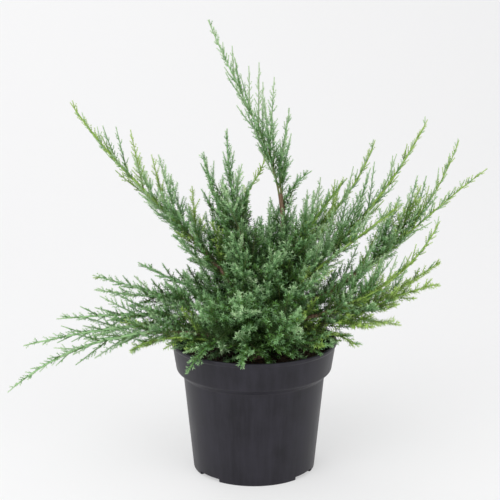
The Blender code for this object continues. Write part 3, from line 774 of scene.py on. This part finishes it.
# Shoots are kept as arrays: the points along each, its thickness at the foot, how light it is,
# how bushy, from 1 by the trunk to 0 at a plume's end, and whether its green is yellowish
Shoots = namedtuple("Shoots", "points radius light bushy lime")


def unit(vectors):
    """The same directions with a length of one."""
    return vectors / np.linalg.norm(vectors, axis=-1, keepdims=True)


def beside(ways):
    """A unit vector square to each of these directions, and the one square to both."""
    helper = np.where(np.abs(ways[:, 2:3]) < 0.9, [[0.0, 0.0, 1.0]], [[1.0, 0.0, 0.0]])
    across = unit(np.cross(ways, helper))
    return across, np.cross(ways, across)


def swung(first, second, angle):
    """The directions at these angles from the first ones towards the second ones."""
    return first * np.cos(angle)[:, None] + second * np.sin(angle)[:, None]


def numbered(counts):
    """Whose each of all these children is, and its number among that parent's."""
    index = np.repeat(np.arange(len(counts)), counts)
    return index, np.arange(len(index)) - np.repeat(np.cumsum(counts) - counts, counts)


def lengths_of(shoots):
    """The length along each shoot."""
    return np.linalg.norm(np.diff(shoots.points, axis=1), axis=2).sum(axis=1)


def along_lines(points, index, share):
    """The place and direction at a share of the length of the chosen lines."""
    sections = points.shape[1] - 1
    step = np.clip(share * sections, 0, sections - 1e-6)
    lower = step.astype(int)
    first = points[index, lower]
    last = points[index, lower + 1]
    return first + (last - first) * (step - lower)[:, None], unit(last - first)


def curved_shoots(roots, ways, reaches, lift, sections):
    """Lines that leave in these directions and bend upwards a little towards the light."""
    share = np.linspace(0, 1, sections + 1)[None, :, None]
    straight = ways[:, None] * reaches[:, None, None] * share
    bend = np.array([0.0, 0.0, 1.0]) * (lift * reaches)[:, None, None] * share**2
    return roots[:, None] + straight + bend


def dips_of(points):
    """How far each point of these lines lies below the soil or the rim under it."""
    out = np.hypot(points[..., 0], points[..., 1])
    under = np.where(out < LIP_RADIUS - 4 * WALL, SOIL_TOP, POT_HEIGHT) + FOLIAGE_REST
    return np.where(out > LIP_RADIUS + FOLIAGE_REST, 0.0, under) - points[..., 2]


def laid_on_pot(points):
    """Lines that would dip into the soil or the rim turn up at their foot until they rest on it."""
    share = np.linspace(0, 1, points.shape[1])
    slope = (dips_of(points)[:, 1:] / share[1:]).max(axis=1)
    lifted = points.copy()
    lifted[..., 2] += np.maximum(0, slope)[:, None] * share
    return lifted


def side_shoots(parents, index, share, turn, angle, reaches, lift, curve, upper_side, sections):
    """Shoots that leave their parents at these shares, turns, angles and lengths."""
    roots, along = along_lines(parents.points, index, share)
    across = swung(*beside(along), turn)
    ways = unit(swung(along, across, angle) + [0.0, 0.0, lift])
    return curved_shoots(roots, ways, reaches * (1 + upper_side * across[:, 2]), curve, sections)


def bare_line(line):
    """One line as the parent of others."""
    return Shoots(np.array([line]), *np.zeros((4, 1)))


def spaced_out(start, end, pitch, chance):
    """Marks at about this pitch from start to end."""
    enough = int(1.3 * abs(end - start) / pitch) + 1
    marks = start + np.cumsum(pitch * chance.uniform(*SPACING, enough))
    return marks[marks < end]


def bushiness(row, share):
    """How bushy a plume is at this share of its length: a slender one is so over its outer half."""
    return np.clip(1 - row.slender * share / SLENDER_FROM, 0, 1)


def shoot_reaches(row, share, length, on_bough, chance):
    """How long shoots are: full along the limb and ever shorter towards its tip."""
    fullest = between(FULLNESS, row.slender) * row.spread
    to_tip = between(REACH_TO_TIP, row.slender) * row.full * length
    taper = between(TAPER_TO_TIP, row.slender)
    reaches = np.minimum(fullest, between(BLUNT_END, row.slender) + to_tip * (1 - share) ** taper)
    reaches[:on_bough] *= between(BOUGH_SHOOT_SHARE, row.slender)
    reaches *= chance.uniform(*SHOOT_LUCK, len(share))
    return np.maximum(chance.uniform(*SHORTEST_SHOOT, len(share)), reaches)


def plume_shoots(line, fork, row, bare, lime_share, chance):
    """The shoots that turn round one limb and on up its plume's stem."""
    limb = bare_line(line)
    length = lengths_of(limb)[0]
    skyward = max(0.0, math.sin(math.radians(row.rise)))
    on_bough = spaced_out(CLEAR_END, fork, BOUGH_SHOOT_PITCH, chance)
    beyond_fork = max(fork, CLEAR_END)
    stem_span = length - CLEAR_END - beyond_fork
    on_stem = spaced_out(0.0, 1.0, between(SHOOT_PITCH, row.slender) / stem_span, chance) ** CLOSER_BY_FORK
    marks = np.concatenate([on_bough, beyond_fork + stem_span * on_stem])
    count = len(marks)
    share = marks / length
    angles = (between(FOOT_ANGLE, row.slender), between(TIP_ANGLE, row.slender))
    angle = np.radians(between(angles, np.maximum(0, (marks - fork) / (length - fork))))
    angle += np.radians(chance.uniform(-LEAVING_JITTER, LEAVING_JITTER, count))
    reaches = shoot_reaches(row, share, length, len(on_bough), chance)
    turn = chance.uniform(0, math.tau) + GOLDEN_TURN * np.arange(count)
    curve = between(SHOOT_CURVE, row.slender) * skyward
    upper_side = UPPER_SIDE * row.slender * skyward
    limbs = np.zeros(count, int)
    points = side_shoots(
        limb, limbs, share, turn, angle, reaches, UPWARD_PULL * skyward, curve, upper_side, SHOOT_SECTIONS
    )
    # Painted shade and light: darker towards the trunk, and never dark where the tip stands out of the
    # crown
    tone = row.light + TONE_RISE * (share - TONE_MIDDLE) + chance.normal(0, SHOOT_TONE, count)
    open_air = np.linalg.norm(points[:, -1] - HEART, axis=1) > IN_THE_OPEN
    tone = np.where(open_air, np.maximum(tone, OPEN_TONE), tone)
    lime = chance.random(count) < lime_share
    height = points[:, 0, 2]
    rightward = (points[:, -1, 0] - points[:, 0, 0]) / reaches
    kept = (height < bare[0]) | (height > bare[1]) | (rightward > TO_THE_RIGHT)
    kept &= dips_of(points).max(axis=1) < DEEPEST_DIP
    radius = SHOOT_RADIUS + SHOOT_RADIUS_GAIN * reaches
    columns = (laid_on_pot(points), radius, tone, bushiness(row, share), lime)
    return Shoots(*[column[kept] for column in columns])


def trunk_shoots(chance):
    """Short shoots low on the trunk, which lie out over the soil."""
    line = piece_of(trunk_points, 0.0, walked_along(trunk_points)[-1], TRUNK_HEIGHT / STEM_SECTIONS)
    trunk = bare_line(line)
    share = np.linspace(*TRUNK_SHOOTS_SPAN, TRUNK_SHOOTS)
    turn = GOLDEN_TURN * np.arange(TRUNK_SHOOTS)
    angle = np.radians(chance.uniform(*TRUNK_SHOOT_ANGLES, TRUNK_SHOOTS))
    reaches = chance.uniform(*TRUNK_SHOOT_LENGTHS, TRUNK_SHOOTS)
    trunks = np.zeros(TRUNK_SHOOTS, int)
    points = side_shoots(trunk, trunks, share, turn, angle, reaches, 0.0, 0.0, 0.0, SHOOT_SECTIONS)
    # Painted shade: shoots low on the trunk, under the crown, take a dark tone
    tone = chance.normal(TRUNK_SHOOT_LIGHT, SHOOT_TONE, TRUNK_SHOOTS)
    lime = chance.random(TRUNK_SHOOTS) < LIME_SHARE
    radius = SHOOT_RADIUS + SHOOT_RADIUS_GAIN * reaches
    return Shoots(laid_on_pot(points), radius, tone, np.ones(TRUNK_SHOOTS), lime)


def branchlets_on(parents, pitch, longest, chance):
    """Branchlets all along the parents, long near the foot and short near the tip."""
    lengths = lengths_of(parents)
    clad = np.maximum(LEAST_CLAD, 1 - between(PLAIN_END, parents.bushy) / lengths)
    counts = np.maximum(1, (lengths * clad / between(pitch, parents.bushy)).astype(int))
    index, order = numbered(counts)
    share = clad[index] * (order + chance.uniform(*BRANCHLET_PLACE, len(index))) / counts[index]
    bushy = parents.bushy[index]
    spray_turn = chance.normal(0, 1, len(lengths)) * between(SPRAY_TURN, parents.bushy)
    turn = spray_turn[index] + math.pi * order
    turn += chance.normal(0, 1, len(index)) * between(SPRAY_ROLL, bushy)
    angles = (between(BRANCHLET_FOOT_ANGLE, bushy), between(BRANCHLET_TIP_ANGLE, bushy))
    angle = np.radians(between(angles, share))
    reaches = between(BRANCHLET_SHARE, bushy) * lengths[index] * (1 - share) ** BRANCHLET_TAPER
    reaches = np.clip(reaches, SHORTEST_BRANCHLET, longest) * chance.uniform(*BRANCHLET_LUCK, len(index))
    points = side_shoots(
        parents, index, share, turn, angle, reaches, 0.0, BRANCHLET_CURVE, 0.0, BRANCHLET_SECTIONS
    )
    # Lighter towards the shoot's tip: paler new growth, and painted shade near its foot
    tone = parents.light[index] + BRANCHLET_TONE_RISE * (share - BRANCHLET_TONE_MIDDLE)
    tone += chance.normal(0, BRANCHLET_TONE, len(index))
    radius = BRANCHLET_RADIUS + BRANCHLET_RADIUS_GAIN * reaches
    return Shoots(points, radius, tone, bushy, parents.lime[index])


def twig_tubes(shoots, sides):
    """Points and faces of thin tubes round the shoots, each closed to a point at its tip."""
    count, rows, _ = shoots.points.shape
    first, second = beside(unit(shoots.points[:, -1] - shoots.points[:, 0]))
    angles = math.tau * np.arange(sides) / sides
    ring = first[:, None] * np.cos(angles)[None, :, None] + second[:, None] * np.sin(angles)[None, :, None]
    thickness = shoots.radius[:, None] * np.linspace(1, TIP_THICKNESS, rows - 1)[None]
    rings = shoots.points[:, :-1, None] + ring[:, None] * thickness[:, :, None, None]
    size = (rows - 1) * sides + 1
    vertices = np.concatenate([rings.reshape(count, size - 1, 3), shoots.points[:, -1:]], axis=1)
    pattern = []
    for low in range(0, (rows - 2) * sides, sides):
        for side in range(sides):
            onward = (side + 1) % sides
            pattern.append((low + side, low + onward, low + sides + onward))
            pattern.append((low + side, low + sides + onward, low + sides + side))
    last = (rows - 2) * sides
    pattern += [(last + side, last + (side + 1) % sides, size - 1) for side in range(sides)]
    faces = np.array(pattern)[None] + (size * np.arange(count))[:, None, None]
    return vertices.reshape(-1, 3), faces.reshape(-1, 3)


def triangle_mesh(name, vertices, faces):
    """A mesh of triangles from arrays of points and corners."""
    mesh = bpy.data.meshes.new(name)
    mesh.vertices.add(len(vertices))
    mesh.vertices.foreach_set("co", vertices.astype(np.float32).ravel())
    mesh.loops.add(faces.size)
    mesh.loops.foreach_set("vertex_index", faces.astype(np.int32).ravel())
    mesh.polygons.add(len(faces))
    mesh.polygons.foreach_set("loop_start", np.arange(0, faces.size, 3, dtype=np.int32))
    mesh.update(calc_edges=True)
    return mesh


def gathered(lots):
    """Several lots of points and faces as one."""
    starts = np.cumsum([0] + [len(vertices) for vertices, _ in lots])
    faces = [lot_faces + start for (_, lot_faces), start in zip(lots, starts)]
    return np.concatenate([vertices for vertices, _ in lots]), np.concatenate(faces)


def chosen(shoots, mask):
    """Only the shoots that a mask picks."""
    return Shoots(*[column[mask] for column in shoots])


def together(*lots):
    """Several lots of shoots as one."""
    return Shoots(*[np.concatenate(columns) for columns in zip(*lots)])


def smooth_young_bark():
    """Thin smooth bark of last year's wood, brown over green."""
    return new_material("smooth_young_bark", {"Base Color": linear(YOUNG_BARK), "Roughness": 0.65})[0]


chance = np.random.default_rng(SEED)
plume_rows = {**PLUMES, **TWINS}
bare_lots = []
brown_lots = []
green_lots = []
shoot_lots = []
for name, (stem, radii) in stem_paths.items():
    row = plume_rows[name]
    stem_length = walked_along(stem)[-1]
    limb = limb_paths[name][0] if name in limb_paths else []
    whole = limb + stem[1 if limb else 0 :]
    length = walked_along(whole)[-1]
    whole = piece_of(whole, 0.0, length, length / (3 * STEM_SECTIONS))
    bare = BARE_STRETCHES.get(name, (0.0, 0.0))
    lime_share = LIME_PLUMES.get(name, LIME_SHARE * (1 - row.slender))
    shoot_lots.append(plume_shoots(whole, length - stem_length, row, bare, lime_share, chance))
    turn_green = BROWN_SHARE * stem_length
    young_lots = bare_lots if name in BARE_STRETCHES else brown_lots
    stretches = ((young_lots, 0.0, turn_green + BROWN_OVERLAP), (green_lots, turn_green, stem_length))
    for lot, start, end in stretches:
        points = piece_of(stem, start, end, (end - start) / STEM_SECTIONS)
        foot = between((radii[0], radii[-1]), start / stem_length)
        bushy = bushiness(row, (start + end) / 2 / stem_length)
        columns = (points, foot, row.light, bushy, lime_share > LIME_STEM_FROM)
        lot.append(Shoots(*[np.array([column]) for column in columns]))
shoot_lots.append(trunk_shoots(chance))
brown_stems = together(*brown_lots)
green_stems = together(*green_lots)
shoots = together(*shoot_lots)
branchlets = branchlets_on(shoots, BRANCHLET_PITCH, LONGEST_BRANCHLET, chance)
long_ones = chosen(branchlets, lengths_of(branchlets) > FINE_FROM)
fine = branchlets_on(long_ones, FINE_PITCH, LONGEST_BRANCHLET, chance)
stems = together(brown_stems, green_stems)
on_stems = branchlets_on(stems, BRANCHLET_PITCH, STEM_BRANCHLET, chance)
branchlets = together(branchlets, fine, on_stems)
foliage_nodes = [f"{name}_foliage" for name in stem_paths]
young_wood = smooth_young_bark()
stem_mesh = triangle_mesh("brown_stems", *twig_tubes(together(brown_stems, *bare_lots), BROWN_STEM_SIDES))
add_piece("brown_stems", stem_mesh, young_wood, "bark", *foliage_nodes)
shoot_mesh = triangle_mesh("shoots", *twig_tubes(shoots, SHOOT_SIDES))
add_piece("shoots", shoot_mesh, young_wood, "bark", *foliage_nodes)

# Needles
# Awl-shaped juniper leaves stand in threes round every shoot, each turned a sixth from the last
# three. They are keeled, waxy and blue-green, and spread on inner shoots. On the tips that grew
# this year they are shorter, paler and pressed forward. Each is a folded blade.
FIRST_WHORL = 0.6
NEEDLE_WIDTH = 0.0011
NEEDLE_FOLD = 0.0004
NEEDLE_BELLY = 0.35
TURN_JITTER = 0.12
ANGLE_JITTER = 4
LENGTH_JITTER = (0.9, 1.1)
PRESSED_AT_TIP = 0.7
SPREAD_AT_FOOT = 0.15
NEEDLE_TONE = 0.04
BROWN_STEM_CLAD_FROM = 0.4
SHOOT_CLAD_FROM = 0.05

# A pair holds the value for a slender shoot, and the one for a bushy shoot
WHORL_PITCH = (0.0018, 0.0023)
STEM_WHORL_PITCH = (0.0014, 0.0017)
NEEDLE_LENGTHS = (0.0027, 0.0058)
NEEDLE_ANGLES = (22, 56)
# Needles grow lighter along their shoot: paler new growth at the tip, and painted shade at the foot
NEEDLE_TONE_RISE = (0.40, 0.36)
# Painted shade: a branchlet's own tube takes a green this much darker than its spray
CORE_SHADE = (0.04, 0.24)
PALEST = (1.2, 0.71)

# Greens from shade to new growth, dealt out by spray, and the tones at which each gives way
GREENS = {
    "shaded": "2A4A08",
    "inner": "568534",
    "blue_green": "7CAA70",
    "open": "9DC48C",
    "pale": "BFDAAC",
    "shaded_lime": "3C5418",
    "inner_lime": "678C36",
    "lime": "93B552",
    "new_lime": "BAD67C",
}
GREEN_STEPS = (0.27, 0.40, 0.53, 0.69)
LIME_STEPS = (0.30, 0.48, 0.68)


def green_numbers(tones, lime):
    """The place in GREENS of the green for each of these tones."""
    limes = len(GREEN_STEPS) + 1 + np.digitize(tones, LIME_STEPS)
    return np.where(lime, limes, np.digitize(tones, GREEN_STEPS))


def needle_blades(shoots, first_share, pitch, chance):
    """Points and greens of the needles in threes along the shoots."""
    lengths = lengths_of(shoots)
    counts = np.maximum(1, (lengths * (1 - first_share) / between(pitch, shoots.bushy)).astype(int))
    index, order = numbered(counts)
    share = first_share + (1 - first_share) * (order + FIRST_WHORL) / counts[index]
    roots, along = along_lines(shoots.points, index, np.minimum(share, 1.0))
    spread = shoots.bushy[index] * (1 - PRESSED_AT_TIP * share**3) + SPREAD_AT_FOOT * (1 - share)
    vertices = []
    for third in range(3):
        turn = math.tau * third / 3 + order * math.pi / 3
        turn += chance.uniform(-TURN_JITTER, TURN_JITTER, len(index))
        out = swung(*beside(along), turn)
        angle = between(NEEDLE_ANGLES, spread) + chance.uniform(-ANGLE_JITTER, ANGLE_JITTER, len(index))
        angle = np.radians(angle)
        length = between(NEEDLE_LENGTHS, spread) * chance.uniform(*LENGTH_JITTER, len(index))
        way = swung(along, out, angle)
        keel = swung(-out, along, angle)
        half = np.cross(along, out) * NEEDLE_WIDTH / 2
        tip = roots + way * length[:, None]
        belly = roots + way * (NEEDLE_BELLY * length)[:, None] + keel * NEEDLE_FOLD
        vertices.append(np.stack([roots, belly + half, belly - half, tip], axis=1))
    vertices = np.stack(vertices, axis=1).reshape(-1, 4, 3)
    bushy = shoots.bushy[index]
    # Lighter towards the tip: paler new growth, and painted shade at the foot of each shoot
    tones = shoots.light[index] + between(NEEDLE_TONE_RISE, bushy) * (share - 0.5)
    tones = np.minimum(tones, between(PALEST, bushy))
    tones = np.repeat(tones, 3) + chance.normal(0, NEEDLE_TONE, 3 * len(index))
    return vertices, green_numbers(tones, np.repeat(shoots.lime[index], 3))


def waxy_needle(name, colour):
    """Living leaf under a thin bloom of wax: soft shine and a slight bloom at the edges."""
    settings = {"Roughness": 0.55, "Specular IOR Level": 0.4, "Sheen Weight": 0.08}
    return new_material(name, {"Base Color": linear(colour), **settings})[0]


lots = [
    needle_blades(brown_stems, BROWN_STEM_CLAD_FROM, WHORL_PITCH, chance),
    needle_blades(green_stems, 0.0, STEM_WHORL_PITCH, chance),
    needle_blades(shoots, SHOOT_CLAD_FROM, STEM_WHORL_PITCH, chance),
    needle_blades(branchlets, 0.0, WHORL_PITCH, chance),
]
blades = np.concatenate([lot_blades for lot_blades, _ in lots])
blade_greens = np.concatenate([greens for _, greens in lots])
# Painted shade: branchlet tubes take a darker green than their needles, as shade falls among them
shade = between(CORE_SHADE, branchlets.bushy)
branchlet_greens = green_numbers(branchlets.light - shade, branchlets.lime)
stem_greens = green_numbers(green_stems.light, green_stems.lime)
for number, (green, colour) in enumerate(GREENS.items()):
    material = waxy_needle(f"{green}_waxy_needle", colour)
    own = blades[blade_greens == number]
    faces = np.array([(0, 1, 3), (0, 3, 2)])[None] + (4 * np.arange(len(own)))[:, None, None]
    needle_mesh = triangle_mesh(f"{green}_needles", own.reshape(-1, 3), faces.reshape(-1, 3))
    add_piece(f"{green}_needles", needle_mesh, material, "needles", *foliage_nodes)
    own_branchlets = twig_tubes(chosen(branchlets, branchlet_greens == number), BRANCHLET_SIDES)
    own_stems = twig_tubes(chosen(green_stems, stem_greens == number), GREEN_STEM_SIDES)
    branchlet_mesh = triangle_mesh(f"{green}_branchlets", *gathered([own_branchlets, own_stems]))
    add_piece(f"{green}_branchlets", branchlet_mesh, material, "needles", *foliage_nodes)

# Studio
# A seamless sheet of white acrylic runs from under the pot up behind it. It glows by its own
# emission, a painted glow that stands in for light from behind and fades the shadows on it. Broad
# softboxes stand above it and to both sides, so that the shadows are faint.
CAMERA_DISTANCE = 1.5
CAMERA_HEIGHT = 0.614
CAMERA_PITCH = 13.4
LENS = 98.2
SENSOR = 36.0
CAMERA_SHIFT = -0.008
SHEET_WIDTH = 8.0
SHEET_FRONT = -4.0
COVE_START = 1.6
COVE_RADIUS = 1.2
SHEET_TOP = 4.0
COVE_STEPS = 16
WHITE_ACRYLIC = "B3B3B4"
SHEET_PAINTED_GLOW = 0.45
SHEET_TOOTH = 0.002
FILL_STRENGTH = 0.62
RIM_MIDDLE = (0.0, 0.0, 0.15)


def acrylic_sheet():
    """The floor, a quarter-round cove and the wall, as one smooth strip."""
    outline = [(SHEET_FRONT, 0.0)]
    for step in range(COVE_STEPS + 1):
        angle = math.pi / 2 * step / COVE_STEPS
        outline.append((COVE_START + COVE_RADIUS * math.sin(angle), COVE_RADIUS * (1 - math.cos(angle))))
    outline.append((COVE_START + COVE_RADIUS, SHEET_TOP))
    shape = bmesh.new()
    left = [shape.verts.new((-SHEET_WIDTH / 2, y, z)) for y, z in outline]
    right = [shape.verts.new((SHEET_WIDTH / 2, y, z)) for y, z in outline]
    for index in range(len(outline) - 1):
        shape.faces.new((left[index], right[index], right[index + 1], left[index + 1]))
    mesh = mesh_of(shape, "acrylic_sheet")
    mesh.shade_smooth()
    return mesh


def matt_acrylic():
    """White translucent acrylic, sanded matt, with a painted glow of its own in place of light from behind,
    so that shadows on it are faint.
    """
    settings = {
        "Base Color": linear(WHITE_ACRYLIC),
        "Roughness": 0.9,
        "Specular IOR Level": 0.2,
        # Painted glow: the sheet emits light of its own, which fades the shadows on it
        "Emission Color": linear("FFFFFF"),
        "Emission Strength": SHEET_PAINTED_GLOW,
    }
    material, tree, shader = new_material("matt_acrylic", settings)
    place = add_node(tree, "TexCoord").outputs["Object"]
    tooth = add_node(tree, "TexNoise", {"Scale": 1 / SHEET_TOOTH, "Detail": 2.0}, {"Vector": place})
    relief = add_node(tree, "Bump", {"Strength": 0.05, "Distance": 0.0002}, {"Height": tooth.outputs[0]})
    tree.links.new(relief.outputs[0], shader.inputs["Normal"])
    return material


def add_softbox(name, place, target, size, power):
    """A square white lamp that faces its target."""
    lamp = bpy.data.lights.new(name, "AREA")
    lamp.shape = "SQUARE"
    lamp.size = size
    lamp.energy = power
    softbox = in_scene(name, lamp)
    softbox.location = place
    softbox.rotation_euler = (Vector(target) - Vector(place)).to_track_quat("-Z", "Y").to_euler()


sheet = in_scene("acrylic_sheet", acrylic_sheet())
sheet.data.materials.append(matt_acrylic())

world = bpy.data.worlds.new("even_fill")
world.use_nodes = True
sky = world.node_tree.nodes["Background"]
sky.inputs["Color"].default_value = linear("FFFFFF")
sky.inputs["Strength"].default_value = FILL_STRENGTH
bpy.context.scene.world = world
add_softbox("key_softbox", (-0.6, -1.0, 2.3), RIM_MIDDLE, size=1.8, power=15.0)
add_softbox("left_softbox", (-1.4, -2.0, 1.2), RIM_MIDDLE, size=1.6, power=22.0)
add_softbox("right_softbox", (1.5, -1.6, 1.2), RIM_MIDDLE, size=1.6, power=11.0)
add_softbox("back_softbox", (-1.2, 2.4, 2.6), (-1.0, 2.2, 0.0), size=1.6, power=20.0)

camera_data = bpy.data.cameras.new("camera")
camera_data.lens = LENS
camera_data.sensor_width = SENSOR
camera_data.shift_x = CAMERA_SHIFT
camera = in_scene("camera", camera_data)
camera.location = (0.0, -CAMERA_DISTANCE, CAMERA_HEIGHT)
camera.rotation_euler = (math.radians(90 - CAMERA_PITCH), 0.0, 0.0)
bpy.context.scene.camera = camera
bpy.context.scene.view_settings.view_transform = "Standard"
